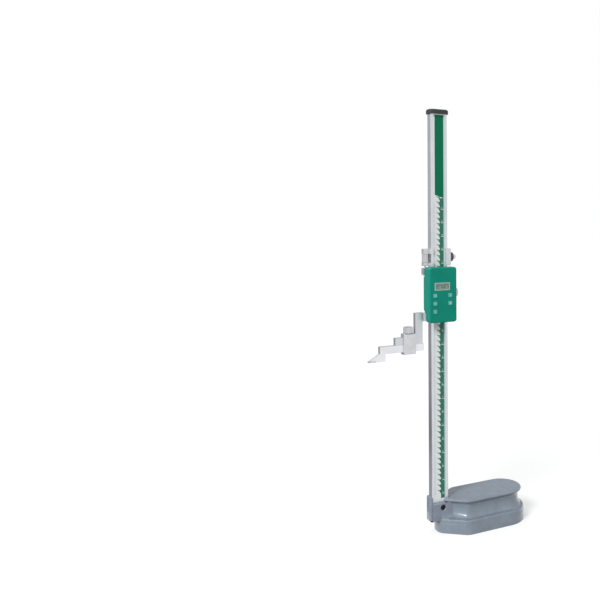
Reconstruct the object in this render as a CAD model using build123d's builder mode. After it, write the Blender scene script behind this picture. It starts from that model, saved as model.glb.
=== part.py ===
from build123d import *

import math
import os

# Digital height gauge, 0-500 mm: a cast base, a steel column with a scale, a slider
# with a display unit, a fine-adjust carriage, and a scriber clamped to the jaw.
#
# Frame: +Z up the column, X from the scriber (-X) to the base (+X), -Y towards the
# reader. The origin is on the table plane, under the axis of the column.
# All sizes are in millimetres. The slider stands at a reading of scriber_face_z.
os.makedirs("parts", exist_ok=True)

# ---------------------------------------------------------------- clearances
slide_gap = 0.1                # flat slideways and clamped bars, each side
thread_gap = 0.05              # radial play of a screw that turns in its hole
seat_gap = 0.02                # radial play of a screw or pin that stays put
key_gap = 0.3                  # keys, tray and other loose plastic fits

# ---------------------------------------------------------------- small turned pieces
knurl_pitch = 1.4
knurl_depth = 0.35
edge_break = 0.5
socket_key = 4.0               # across the flats of the hexagon sockets

# ---------------------------------------------------------------- base
base_left = -5.5
base_half_width = 47.3
base_round_x = 133.2           # centre of the round end
base_taper_angle = 36.4        # of the tapered sides, from the X axis
base_taper_reach = 11.7        # of the tapered sides, from the origin
base_side_corner = 70.0        # where the tapered sides meet the straight ones
base_end_corner = 20.0
base_height = 59.6
flange_height = 26.0
flange_edge = 1.5
band_height = 18.0             # of the dressed band, low round the flange
band_step = 0.4
waist_inset = 15.7             # of the waist's straight sides, from the flange
waist_taper_inset = 17.0
waist_end_inset = 18.0
waist_shift = 5.3              # of the waist's round end, to the right
waist_side_corner = 54.0
waist_end_corner = 4.0
lower_cove = 9.0
upper_slope = 4.0              # under the lip
lip_overhang = 6.4             # of the lip, from the waist
lip_thickness = 4.5
lip_edge = 1.2
rim_width = 14.0               # of the ground rim under the base
recess_depth = 7.0
recess_start_x = 13.0
rib_count = 2
rib_thickness = 8.0
rib_pitch = 50.0

# ---------------------------------------------------------------- column
column_width = 34.0
column_depth = 15.0
column_height = 761.0
column_chamfer = 0.8
groove_width = 24.0
scale_foot_z = 61.5
scale_end_gap = 1.2
strip_thickness = 1.0
label_thickness = 0.4

cap_overhang = 4.0
cap_grip = 5.8                 # of the cap, down over the column
cap_roof = 2.5
cap_corner = 9.0
cap_edge = 2.0

# ---------------------------------------------------------------- socket of the column
nose_foot_z = 23.0
socket_floor = 5.0
nose_wall = 5.4                # of the nose, to the left of the column
nose_cheek = 1.4               # of the nose, before and behind the column
nose_height = 42.4
nose_corner = 2.0
boss_setback = 0.4             # of the boss's left end, from the column's left edge
boss_cheek = 6.5               # of the boss, before and behind the column
boss_height = 30.5

set_screw_x = 3.2
set_screw_rise = 23.0          # above the foot of the nose
set_screw_radius = 5.0
set_screw_mouth = 6.0
set_screw_angle = 90.0
foot_screw_inset = 3.8         # from the column's left edge
foot_screw_radius = 2.5
foot_screw_head_radius = 4.25
foot_screw_head = 5.0
foot_screw_length = 15.0

# ---------------------------------------------------------------- slideways
frame_wall = 3.9               # side walls of the slider and carriage frames
frame_back_wall = 3.4
frame_lip = 2.4                # thickness of the lips over the column's face
frame_lip_reach = 4.0          # of the lips, in from the column's edges
gib_thickness = 1.9
gib_half_width = 6.5
gib_end_gap = 1.5

# ---------------------------------------------------------------- scriber
scriber_face_z = 327.6         # the measuring face: the reading
scriber_drop = 13.8            # of the measuring face, below the bar
scriber_height = 13.3
scriber_back_x = -31.2
scriber_bar_length = 87.4
scriber_bevel_length = 20.9
scriber_nose_width = 10.7
scriber_tip_height = 1.0
carbide_length = 13.0
carbide_height = 3.0

# ---------------------------------------------------------------- slider and jaw
jaw_half_thickness = 4.5
jaw_leg_right = -33.6
jaw_leg_width = 15.0
jaw_leg_height = 56.9
jaw_bar_length = 55.1
jaw_bar_height = 13.3
web_recess = 1.0
slider_rise = 40.2             # of the slider's foot, above the jaw's foot
slider_length = 99.4
lug_reach = 10.8
lug_height = 12.7

lock_rise = 51.3               # above the slider's foot
lock_shank_radius = 2.5
lock_neck_radius = 3.7
lock_neck_flare = 6.2
lock_neck_length = 2.0
lock_head_radius = 8.2
lock_head_length = 8.5
lock_head_gap = 8.0            # from the frame to the head
gib_screw_radius = 1.5
gib_screw_inset = 17.0         # from the slider's ends
gib_screw_sink = 0.4
slot_width = 0.5
slot_depth = 1.0

# ---------------------------------------------------------------- clamp of the scriber
clamp_length = 24.1
clamp_floor = 4.4
clamp_roof = 6.4
clamp_cheek = 2.9
clamp_edge = 1.5
clamp_screw_inset = 11.3
clamp_screw_radius = 3.0
clamp_knob_radius = 9.0
clamp_knob_height = 11.0
clamp_knob_gap = 1.0

# ---------------------------------------------------------------- fine adjustment
feed_gap = 3.8                 # between the slider and the carriage
carriage_height = 32.0
ear_reach = 10.4
ear_thickness = 6.4
wheel_radius = 6.2
wheel_height = 15.4
wheel_end_gap = 0.3
fine_rod_radius = 2.0
fine_rod_tail = 1.1            # below its nut
fine_rod_reach = 2.4           # above the wheel's window
fine_rod_headroom = 3.5
fine_nut_height = 2.6
fine_nut_radius = 3.9
carriage_lock_disc_radius = 8.6
carriage_lock_disc_width = 6.7
carriage_lock_head_radius = 5.5
carriage_lock_head_length = 6.4
carriage_lock_head_taper = 1.2

# ---------------------------------------------------------------- display unit
housing_left = -29.3
housing_width = 56.7
housing_drop = 1.2             # below the slider's foot
housing_rise = 1.8             # above the slider's top
housing_front_y = -26.0
housing_back_y = 0.0
housing_wall = 2.0
housing_corner = 5.0
housing_edge = 3.0
step_depth = 9.2               # the left wall's cut-back over the jaw
step_height = 15.8
step_slope_height = 7.4

lcd_x = -3.2
lcd_down = 35.5                # from the housing's top to the display's centre
lcd_width = 31.0
lcd_height = 14.2
bezel_width = 1.3
bezel_proud = 0.2
lcd_window_thickness = 1.0
lcd_border = 2.2

key_size = 8.2
key_corner = 2.0
key_proud = 0.9
key_edge = 0.54
key_travel = 0.7
key_flange = 1.0
key_flange_thickness = 0.8
key_pitch = 14.7
key_down = 52.2                # from the housing's top to the upper keys
key_left_x = -17.6
key_right_x = 13.3
switch_size = 6.0
switch_height = 1.6

board_depth = 6.0              # from the housing's face to the board
board_thickness = 1.6
board_margin = 1.2
back_plate_thickness = 2.3
sensor_gap = 0.8               # from the scale to the sensor board
sensor_length = 74.0
post_radius = 2.6
post_inset = 5.6
post_screw_radius = 1.0
post_screw_head_radius = 1.9
post_screw_head = 1.2
module_screw_radius = 1.2
module_screw_head_radius = 2.2
module_screw_head = 1.6
module_screw_inset = 10.0      # from the slider's ends

cell_radius = 10.0
cell_thickness = 3.2
tray_depth = 5.0
tray_rise = 10.2               # above the housing's foot
tray_height = 22.0
tray_length = 23.0
contact_thickness = 0.3
contact_width = 4.0
contact_length = 6.0
contact_offset = 7.0           # of the two contacts, either side of the cell's centre

# ---------------------------------------------------------------- places, column
half_width = column_width / 2
half_depth = column_depth / 2
column_face_y = -half_depth
column_foot_z = nose_foot_z + socket_floor
column_top_z = column_foot_z + column_height
cap_foot_z = column_top_z - cap_grip
cap_top_z = column_top_z + cap_roof
sensor_face_y = column_face_y - sensor_gap
scale_top_z = cap_foot_z - scale_end_gap
groove_depth = strip_thickness + label_thickness
nose_left = -half_width - nose_wall
nose_half_width = half_depth + nose_cheek
nose_top_z = nose_foot_z + nose_height
boss_left = boss_setback - half_width
boss_half_width = half_depth + boss_cheek
boss_top_z = nose_foot_z + boss_height
set_screw_z = nose_foot_z + set_screw_rise
foot_screw_x = foot_screw_inset - half_width

# ---------------------------------------------------------------- places, slider
rail_pocket_left = -half_width - slide_gap
rail_pocket_right = half_width + slide_gap + gib_thickness
rail_pocket_half_depth = half_depth + slide_gap
rail_left = rail_pocket_left - frame_wall
rail_right = rail_pocket_right + frame_wall
rail_front = -rail_pocket_half_depth - frame_lip
rail_back = rail_pocket_half_depth + frame_back_wall
rail_lip_x = half_width - frame_lip_reach

scriber_foot_z = scriber_face_z + scriber_drop
scriber_top_z = scriber_foot_z + scriber_height
scriber_front_x = scriber_back_x - scriber_bar_length
scriber_tip_x = scriber_front_x - scriber_bevel_length
scriber_nose_x = scriber_front_x + scriber_nose_width
jaw_foot_z = scriber_top_z + slide_gap
jaw_bar_top_z = jaw_foot_z + jaw_bar_height
jaw_top_z = jaw_foot_z + jaw_leg_height
jaw_leg_left = jaw_leg_right - jaw_leg_width
jaw_bar_left = jaw_leg_right - jaw_bar_length
clamp_right = jaw_leg_left - slide_gap
clamp_left = clamp_right - clamp_length
clamp_half_depth = jaw_half_thickness + slide_gap + clamp_cheek
clamp_foot_z = scriber_foot_z - slide_gap - clamp_floor
clamp_top_z = jaw_bar_top_z + slide_gap + clamp_roof
clamp_screw_x = clamp_left + clamp_screw_inset
clamp_knob_foot_z = clamp_top_z + clamp_knob_gap

slider_foot_z = jaw_foot_z + slider_rise
slider_top_z = slider_foot_z + slider_length
lock_z = slider_foot_z + lock_rise
lock_head_x = rail_right + lock_head_gap
gib_screw_zs = (slider_foot_z + gib_screw_inset, slider_top_z - gib_screw_inset)
lug_left = rail_left - lug_reach
lug_foot_z = slider_top_z - lug_height
fine_nut_foot_z = lug_foot_z - fine_nut_height

carriage_foot_z = slider_top_z + feed_gap
carriage_top_z = carriage_foot_z + carriage_height
carriage_lock_z = carriage_foot_z + carriage_height / 2
ear_left = rail_left - ear_reach
wheel_x = rail_left - ear_reach / 2
wheel_foot_z = carriage_foot_z + ear_thickness + wheel_end_gap
window_foot_z = carriage_foot_z + ear_thickness
window_top_z = wheel_foot_z + wheel_height + wheel_end_gap
fine_rod_foot_z = fine_nut_foot_z - fine_rod_tail
fine_rod_top_z = window_top_z + fine_rod_reach
fine_rod_bore_top_z = fine_rod_top_z + fine_rod_headroom

# ---------------------------------------------------------------- places, display unit
housing_right = housing_left + housing_width
housing_foot_z = slider_foot_z - housing_drop
housing_top_z = slider_top_z + housing_rise
housing_height = housing_top_z - housing_foot_z
housing_x = (housing_left + housing_right) / 2
housing_z = (housing_foot_z + housing_top_z) / 2
shell_back_y = housing_front_y + housing_wall
shell_corner = housing_corner - housing_wall
lcd_z = housing_top_z - lcd_down
key_top_z = housing_top_z - key_down
key_places = {
    "button_power": (key_left_x, key_top_z),
    "button_units": (key_left_x, key_top_z - key_pitch),
    "button_zero": (key_left_x, key_top_z - 2 * key_pitch),
    "button_preset": (key_right_x, key_top_z),
    "button_hold": (key_right_x, key_top_z - key_pitch),
}
board_front_y = housing_front_y + board_depth
board_back_y = board_front_y + board_thickness
switch_face_y = board_front_y - switch_height
back_plate_front_y = rail_front - back_plate_thickness
tray_front_y = board_back_y + contact_thickness + slide_gap
tray_back_y = tray_front_y + tray_depth
tray_left = housing_right - tray_length
tray_foot_z = housing_foot_z + tray_rise
tray_top_z = tray_foot_z + tray_height
cell_x = tray_left + housing_wall + cell_radius
cell_z = tray_foot_z + tray_height / 2
post_places = [
    (x, z)
    for x in (housing_left + post_inset, housing_right - post_inset)
    for z in (housing_foot_z + post_inset, housing_top_z - post_inset)
]
module_screw_places = [
    (x, z)
    for x in (rail_left + frame_wall / 2, rail_right - frame_wall / 2)
    for z in (slider_foot_z + module_screw_inset, slider_top_z - module_screw_inset)
]


# ---------------------------------------------------------------- shared helpers
def block(x, y, z, mode=Mode.ADD):
    """A box between two places on each axis, in the active part."""
    with Locations(((x[0] + x[1]) / 2, (y[0] + y[1]) / 2, (z[0] + z[1]) / 2)):
        Box(x[1] - x[0], y[1] - y[0], z[1] - z[0], mode=mode)


def knurled_outline(radius):
    """A round outline with small V teeth, in the active sketch."""
    teeth = round(2 * math.pi * radius / knurl_pitch)
    step = math.pi / teeth
    corners = []
    for i in range(2 * teeth):
        reach = radius - knurl_depth * (i % 2)
        corners.append((reach * math.cos(i * step), reach * math.sin(i * step)))
    Polygon(*corners, align=None)


def rod(radius, length, mode=Mode.ADD):
    """A cylinder that starts on the active plane and runs along its normal."""
    Cylinder(radius, length, align=(Align.CENTER, Align.CENTER, Align.MIN), mode=mode)


def across(x, y, z):
    """A plane at a place, with its normal along +X."""
    return Plane(origin=(x, y, z), x_dir=(0, 1, 0), z_dir=(1, 0, 0))


def upward(x, y, z):
    """A plane at a place, with its normal along +Z."""
    return Plane(origin=(x, y, z), x_dir=(1, 0, 0), z_dir=(0, 0, 1))


def front_plane(y):
    """A plane that faces the reader, with X and Z as its axes."""
    return Plane(origin=(0, y, 0), x_dir=(1, 0, 0), z_dir=(0, -1, 0))


def save(builder, label):
    """Label a finished piece and write it."""
    builder.part.label = label
    export_step(builder.part, f"parts/{label}.step")


# ---------------------------------------------------------------- base casting
taper_x = math.sin(math.radians(base_taper_angle))
taper_y = math.cos(math.radians(base_taper_angle))
waist_half_width = base_half_width - waist_inset
waist_reach = base_taper_reach - waist_taper_inset
waist_left = base_left + waist_end_inset
waist_round_x = base_round_x + waist_shift
lip_foot_z = base_height - lip_thickness
boss_right = (boss_half_width * taper_y - waist_reach) / taper_x


def base_plan(half, reach, left, round_x, side_corner, end_corner):
    """A blunt end, tapered sides and a round end, seen from above."""
    end_y = (reach + taper_x * left) / taper_y
    side_x = (half * taper_y - reach) / taper_x
    FilletPolyline(
        (round_x, -half),
        (side_x, -half),
        (left, -end_y),
        (left, end_y),
        (side_x, half),
        (round_x, half),
        radius=(side_corner, end_corner, end_corner, side_corner),
    )
    ThreePointArc((round_x, half), (round_x + half, 0), (round_x, -half))


def flange_plan(inset):
    """The flange's outline moved inward."""
    base_plan(
        base_half_width - inset,
        base_taper_reach - inset,
        base_left + inset,
        base_round_x,
        base_side_corner - inset,
        base_end_corner - inset,
    )


def waist_plan():
    """The outline of the waist, between the flange and the lip."""
    base_plan(
        waist_half_width,
        waist_reach,
        waist_left,
        waist_round_x,
        waist_side_corner,
        waist_end_corner,
    )


def cove(outward, foot, radius):
    """A hollow quarter round from a floor up to a wall, in the active line."""
    mid = radius * (1 - math.sqrt(0.5))
    reach = math.copysign(1, outward)
    ThreePointArc(
        (outward + reach * radius, foot), (outward + reach * mid, foot + mid), (outward, foot + radius)
    )


core_overlap = 1.0             # of the swept edge, into the body's core
with BuildPart() as base_casting:
    with BuildSketch():
        with BuildLine():
            waist_plan()
        make_face()
    extrude(amount=base_height)
    with BuildLine() as waist_path:
        waist_plan()
    edge_plane = Plane(
        origin=(waist_round_x, -waist_half_width, 0), x_dir=(0, -1, 0), z_dir=(-1, 0, 0)
    )
    with BuildSketch(edge_plane) as edge_profile:
        with BuildLine():
            cove(0, flange_height, lower_cove)
            Polyline(
                (0, flange_height + lower_cove),
                (0, lip_foot_z - upper_slope),
                (upper_slope, lip_foot_z),
                (lip_overhang - lip_edge, lip_foot_z),
                (lip_overhang, lip_foot_z + lip_edge),
                (lip_overhang, base_height - lip_edge),
                (lip_overhang - lip_edge, base_height),
                (-core_overlap, base_height),
                (-core_overlap, flange_height),
                (lower_cove, flange_height),
            )
        make_face()
    sweep(sections=edge_profile.sketch, path=waist_path.wires()[0])
    # the boss of the socket flares out at its foot as the waist does
    for side in (-boss_half_width, boss_half_width):
        with BuildSketch(across(base_left, 0, 0)):
            with BuildLine():
                cove(side, flange_height, lower_cove)
                Polyline(
                    (side, flange_height + lower_cove),
                    (side, flange_height),
                    (side + math.copysign(lower_cove, side), flange_height),
                )
            make_face()
        extrude(amount=boss_right - base_left)
    with BuildSketch():
        with BuildLine():
            flange_plan(flange_edge)
        make_face()
    extrude(amount=base_height, mode=Mode.INTERSECT)
    # flange with its dressed band
    with BuildSketch():
        with BuildLine():
            flange_plan(band_step)
        make_face()
    extrude(amount=flange_height)
    with BuildSketch():
        with BuildLine():
            flange_plan(0)
        make_face()
    extrude(amount=band_height)
    # socket of the column: a boss on the body and a taller, narrower nose
    block((boss_left, half_width), (-boss_half_width, boss_half_width), (nose_foot_z, boss_top_z))
    block((half_width, boss_right), (-boss_half_width, boss_half_width), (band_height, lip_foot_z))
    with BuildSketch(Plane.XY.offset(nose_foot_z)):
        with Locations(((nose_left + boss_left) / 2, 0)):
            nose = Rectangle(boss_left - nose_left, 2 * nose_half_width)
        fillet(nose.vertices().group_by(Axis.X)[0], nose_corner)
    extrude(amount=nose_top_z - nose_foot_z)
    block(
        (-half_width, half_width),
        (-half_depth, half_depth),
        (column_foot_z, nose_top_z),
        mode=Mode.SUBTRACT,
    )
    with Locations(Plane(origin=(set_screw_x, -boss_half_width, set_screw_z), z_dir=(0, -1, 0))):
        CounterSinkHole(set_screw_radius, set_screw_mouth, boss_cheek, set_screw_angle)
    with Locations((foot_screw_x, 0, nose_foot_z)):
        rod(foot_screw_radius + seat_gap, column_foot_z - nose_foot_z, mode=Mode.SUBTRACT)
    # hollow underside inside a ground rim, with cross ribs
    with BuildSketch():
        with BuildLine():
            flange_plan(rim_width)
        make_face()
        with Locations((recess_start_x, 0)):
            Rectangle(
                base_left + 2 * recess_start_x,
                2 * base_half_width,
                align=(Align.MAX, Align.CENTER),
                mode=Mode.SUBTRACT,
            )
        with Locations(*[(recess_start_x + rib_pitch * (i + 1), 0) for i in range(rib_count)]):
            Rectangle(rib_thickness, 2 * base_half_width, mode=Mode.SUBTRACT)
    extrude(amount=recess_depth, mode=Mode.SUBTRACT)
save(base_casting, "base_casting")

# ---------------------------------------------------------------- column
with BuildPart() as column_beam:
    with BuildSketch(Plane.XY.offset(column_foot_z)) as beam_section:
        Rectangle(column_width, column_depth)
        chamfer(beam_section.vertices(), column_chamfer)
    extrude(amount=column_top_z - column_foot_z)
    block(
        (-groove_width / 2, groove_width / 2),
        (column_face_y, column_face_y + groove_depth),
        (scale_foot_z, scale_top_z),
        mode=Mode.SUBTRACT,
    )
    with Locations((foot_screw_x, 0, column_foot_z)):
        rod(
            foot_screw_radius + seat_gap,
            foot_screw_length - socket_floor + seat_gap,
            mode=Mode.SUBTRACT,
        )
save(column_beam, "column_beam")

with BuildPart() as scale_strip:
    block(
        (-groove_width / 2, groove_width / 2),
        (column_face_y + label_thickness, column_face_y + groove_depth),
        (scale_foot_z, scale_top_z),
    )
save(scale_strip, "scale_strip")

with BuildPart() as scale_label:
    block(
        (-groove_width / 2, groove_width / 2),
        (column_face_y, column_face_y + label_thickness),
        (scale_foot_z, scale_top_z),
    )
save(scale_label, "scale_label")

with BuildPart() as column_cap:
    with BuildSketch(Plane.XY.offset(cap_foot_z)):
        RectangleRounded(
            column_width + 2 * cap_overhang, column_depth + 2 * cap_overhang, cap_corner
        )
    extrude(amount=cap_top_z - cap_foot_z)
    chamfer(column_cap.faces().sort_by(Axis.Z)[-1].edges(), cap_edge)
    block(
        (-half_width, half_width),
        (-half_depth, half_depth),
        (cap_foot_z, column_top_z),
        mode=Mode.SUBTRACT,
    )
save(column_cap, "column_cap")

with BuildPart(
    Plane(origin=(set_screw_x, column_face_y, set_screw_z), z_dir=(0, -1, 0))
) as column_set_screw:
    set_screw_length = boss_cheek - set_screw_mouth + set_screw_radius
    rod(set_screw_radius - seat_gap, set_screw_length)
    with BuildSketch(column_set_screw.faces().sort_by(Axis.Y)[0]):
        RegularPolygon(socket_key / 2, 6, major_radius=False)
    extrude(amount=-socket_key / 2, mode=Mode.SUBTRACT)
save(column_set_screw, "column_set_screw")

with BuildPart(
    Plane(origin=(foot_screw_x, 0, nose_foot_z), z_dir=(0, 0, -1))
) as column_foot_screw:
    rod(foot_screw_head_radius, foot_screw_head)
    with BuildSketch(column_foot_screw.faces().sort_by(Axis.Z)[0]):
        RegularPolygon(socket_key / 2, 6, major_radius=False)
    extrude(amount=-socket_key / 2, mode=Mode.SUBTRACT)
    with Locations((0, 0, -foot_screw_length)):
        rod(foot_screw_radius, foot_screw_length)
save(column_foot_screw, "column_foot_screw")


# ---------------------------------------------------------------- slideways
def rail_section():
    """The frames' section round the column, open in front between two lips."""
    with Locations(((rail_left + rail_right) / 2, (rail_front + rail_back) / 2)):
        Rectangle(rail_right - rail_left, rail_back - rail_front)
    with Locations(((rail_pocket_left + rail_pocket_right) / 2, 0)):
        Rectangle(
            rail_pocket_right - rail_pocket_left, 2 * rail_pocket_half_depth, mode=Mode.SUBTRACT
        )
    with Locations((0, rail_front)):
        Rectangle(
            2 * rail_lip_x,
            -rail_front - half_depth,
            align=(Align.CENTER, Align.MIN),
            mode=Mode.SUBTRACT,
        )


def gib(foot_z, top_z):
    """A brass strip between the column and the frame's right wall."""
    block(
        (half_width + slide_gap, rail_pocket_right),
        (-gib_half_width, gib_half_width),
        (foot_z + gib_end_gap, top_z - gib_end_gap),
    )


# ---------------------------------------------------------------- slider with the jaw
with BuildPart() as slider_frame:
    with BuildSketch(Plane.XY.offset(slider_foot_z)):
        rail_section()
    extrude(amount=slider_top_z - slider_foot_z)
    # L-shaped jaw
    with BuildSketch(front_plane(jaw_half_thickness)) as jaw:
        with BuildLine():
            Polyline(
                (jaw_bar_left, jaw_foot_z),
                (jaw_leg_right, jaw_foot_z),
                (jaw_leg_right, jaw_top_z),
                (jaw_leg_left, jaw_top_z),
                (jaw_leg_left, jaw_bar_top_z),
                (jaw_bar_left, jaw_bar_top_z),
                close=True,
            )
        make_face()
    extrude(amount=2 * jaw_half_thickness)
    # recessed web between the jaw and the slideway
    block(
        (jaw_leg_right, rail_left),
        (web_recess - jaw_half_thickness, jaw_half_thickness),
        (slider_foot_z, jaw_top_z),
    )
    # lug of the fine-adjust screw
    block(
        (lug_left, rail_left),
        (-jaw_half_thickness, jaw_half_thickness),
        (lug_foot_z, slider_top_z),
    )
    with Locations((wheel_x, 0, lug_foot_z)):
        rod(fine_rod_radius + seat_gap, lug_height, mode=Mode.SUBTRACT)
    with Locations(across(rail_pocket_right, 0, lock_z)):
        rod(lock_shank_radius + thread_gap, frame_wall, mode=Mode.SUBTRACT)
    for screw_z in gib_screw_zs:
        with Locations(across(rail_pocket_right, 0, screw_z)):
            rod(gib_screw_radius + seat_gap, frame_wall, mode=Mode.SUBTRACT)
    for x, z in module_screw_places:
        with Locations(Plane(origin=(x, rail_back, z), z_dir=(0, -1, 0))):
            rod(module_screw_radius + seat_gap, rail_back - rail_front, mode=Mode.SUBTRACT)
save(slider_frame, "slider_frame")

with BuildPart() as slider_gib:
    gib(slider_foot_z, slider_top_z)
save(slider_gib, "slider_gib")

with BuildPart() as gib_screws:
    gib_screw_face_x = rail_right - gib_screw_sink
    for screw_z in gib_screw_zs:
        with Locations(across(rail_pocket_right, 0, screw_z)):
            rod(gib_screw_radius, gib_screw_face_x - rail_pocket_right)
        block(
            (gib_screw_face_x - slot_depth, gib_screw_face_x),
            (-gib_screw_radius, gib_screw_radius),
            (screw_z - slot_width / 2, screw_z + slot_width / 2),
            mode=Mode.SUBTRACT,
        )
save(gib_screws, "gib_screws")

with BuildPart() as slider_lock_screw:
    with Locations(across(rail_pocket_right, 0, lock_z)):
        rod(lock_shank_radius, lock_head_x - rail_pocket_right)
    with Locations(across(lock_head_x - lock_neck_length, 0, lock_z)):
        Cone(
            lock_neck_radius,
            lock_neck_flare,
            lock_neck_length,
            align=(Align.CENTER, Align.CENTER, Align.MIN),
        )
    with BuildSketch(across(lock_head_x, 0, lock_z)):
        knurled_outline(lock_head_radius)
    extrude(amount=lock_head_length)
save(slider_lock_screw, "slider_lock_screw")

with BuildPart(upward(wheel_x, 0, fine_rod_foot_z)) as fine_adjust_screw:
    rod(fine_rod_radius, fine_rod_top_z - fine_rod_foot_z)
save(fine_adjust_screw, "fine_adjust_screw")

with BuildPart() as fine_screw_nut:
    with BuildSketch(upward(wheel_x, 0, fine_nut_foot_z)):
        RegularPolygon(fine_nut_radius, 6)
        Circle(fine_rod_radius + seat_gap, mode=Mode.SUBTRACT)
    extrude(amount=fine_nut_height)
save(fine_screw_nut, "fine_screw_nut")

with BuildPart() as module_screws:
    for x, z in module_screw_places:
        with Locations(Plane(origin=(x, rail_back, z), z_dir=(0, -1, 0))):
            rod(module_screw_radius, rail_back - back_plate_front_y)
        with Locations(Plane(origin=(x, rail_back, z), z_dir=(0, 1, 0))):
            rod(module_screw_head_radius, module_screw_head)
save(module_screws, "module_screws")

# ---------------------------------------------------------------- carriage
with BuildPart() as fine_adjust_frame:
    with BuildSketch(Plane.XY.offset(carriage_foot_z)):
        rail_section()
        with Locations((ear_left, 0)):
            Rectangle(
                rail_left - ear_left,
                2 * jaw_half_thickness,
                align=(Align.MIN, Align.CENTER),
            )
    extrude(amount=carriage_height)
    # window of the wheel, through the left wall and its lip
    block(
        (ear_left, -rail_lip_x),
        (rail_front, rail_pocket_half_depth),
        (window_foot_z, window_top_z),
        mode=Mode.SUBTRACT,
    )
    with Locations((wheel_x, 0, carriage_foot_z)):
        rod(
            fine_rod_radius + thread_gap,
            fine_rod_bore_top_z - carriage_foot_z,
            mode=Mode.SUBTRACT,
        )
    with Locations(across(rail_pocket_right, 0, carriage_lock_z)):
        rod(lock_shank_radius + thread_gap, frame_wall, mode=Mode.SUBTRACT)
save(fine_adjust_frame, "fine_adjust_frame")

with BuildPart() as carriage_gib:
    gib(carriage_foot_z, carriage_top_z)
save(carriage_gib, "carriage_gib")

with BuildPart() as carriage_lock_screw:
    carriage_lock_disc_x = rail_right + key_gap
    carriage_lock_head_x = carriage_lock_disc_x + carriage_lock_disc_width
    with Locations(across(rail_pocket_right, 0, carriage_lock_z)):
        rod(lock_shank_radius, carriage_lock_head_x - rail_pocket_right)
    with BuildSketch(across(carriage_lock_disc_x, 0, carriage_lock_z)):
        knurled_outline(carriage_lock_disc_radius)
    extrude(amount=carriage_lock_disc_width)
    with Locations(across(carriage_lock_head_x, 0, carriage_lock_z)):
        Cone(
            carriage_lock_head_radius,
            carriage_lock_head_radius - carriage_lock_head_taper,
            carriage_lock_head_length,
            align=(Align.CENTER, Align.CENTER, Align.MIN),
        )
save(carriage_lock_screw, "carriage_lock_screw")

with BuildPart() as fine_adjust_wheel:
    with BuildSketch(upward(wheel_x, 0, wheel_foot_z)):
        knurled_outline(wheel_radius)
        Circle(fine_rod_radius + thread_gap, mode=Mode.SUBTRACT)
    extrude(amount=wheel_height)
save(fine_adjust_wheel, "fine_adjust_wheel")

# ---------------------------------------------------------------- scriber
with BuildPart() as scriber_bar:
    with BuildSketch(front_plane(jaw_half_thickness)):
        with BuildLine():
            Polyline(
                (scriber_tip_x, scriber_face_z),
                (scriber_tip_x, scriber_face_z + scriber_tip_height),
                (scriber_front_x, scriber_foot_z),
                (scriber_front_x, scriber_top_z),
                (scriber_back_x, scriber_top_z),
                (scriber_back_x, scriber_foot_z),
                (scriber_nose_x, scriber_foot_z),
                (scriber_nose_x, scriber_face_z),
                close=True,
            )
        make_face()
    extrude(amount=2 * jaw_half_thickness)
    block(
        (scriber_tip_x, scriber_tip_x + carbide_length),
        (-jaw_half_thickness, jaw_half_thickness),
        (scriber_face_z, scriber_face_z + carbide_height),
        mode=Mode.SUBTRACT,
    )
save(scriber_bar, "scriber_bar")

with BuildPart() as carbide_tip:
    with BuildSketch(front_plane(jaw_half_thickness)):
        with BuildLine():
            bevel_slope = (scriber_drop - scriber_tip_height) / scriber_bevel_length
            bevel_x = scriber_tip_x + (carbide_height - scriber_tip_height) / bevel_slope
            Polyline(
                (scriber_tip_x, scriber_face_z),
                (scriber_tip_x, scriber_face_z + scriber_tip_height),
                (bevel_x, scriber_face_z + carbide_height),
                (scriber_tip_x + carbide_length, scriber_face_z + carbide_height),
                (scriber_tip_x + carbide_length, scriber_face_z),
                close=True,
            )
        make_face()
    extrude(amount=2 * jaw_half_thickness)
save(carbide_tip, "carbide_tip")

with BuildPart() as scriber_clamp:
    block(
        (clamp_left, clamp_right),
        (-clamp_half_depth, clamp_half_depth),
        (clamp_foot_z, clamp_top_z),
    )
    fillet(scriber_clamp.edges().filter_by(Axis.X), clamp_edge)
    block(
        (clamp_left, clamp_right),
        (-jaw_half_thickness - slide_gap, jaw_half_thickness + slide_gap),
        (scriber_foot_z - slide_gap, jaw_bar_top_z + slide_gap),
        mode=Mode.SUBTRACT,
    )
    with Locations((clamp_screw_x, 0, jaw_bar_top_z)):
        rod(clamp_screw_radius + thread_gap, clamp_top_z - jaw_bar_top_z, mode=Mode.SUBTRACT)
save(scriber_clamp, "scriber_clamp")

with BuildPart() as scriber_clamp_screw:
    with Locations((clamp_screw_x, 0, jaw_bar_top_z + slide_gap)):
        rod(clamp_screw_radius, clamp_knob_foot_z - jaw_bar_top_z - slide_gap)
    with BuildSketch(upward(clamp_screw_x, 0, clamp_knob_foot_z)):
        knurled_outline(clamp_knob_radius)
    extrude(amount=clamp_knob_height)
save(scriber_clamp_screw, "scriber_clamp_screw")

# ---------------------------------------------------------------- display unit
def front_sheet(width, height, corner, back_y, front_y, mode=Mode.ADD, at=(housing_x, housing_z)):
    """A round-cornered slab that faces the reader."""
    with BuildSketch(front_plane(back_y)) as sheet:
        with Locations(at):
            RectangleRounded(width, height, corner)
    extrude(sheet.sketch, amount=back_y - front_y, mode=mode)


def post(x, z, front_y, back_y):
    """A square pillar round a housing screw."""
    block((x - post_radius, x + post_radius), (front_y, back_y), (z - post_radius, z + post_radius))


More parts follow.
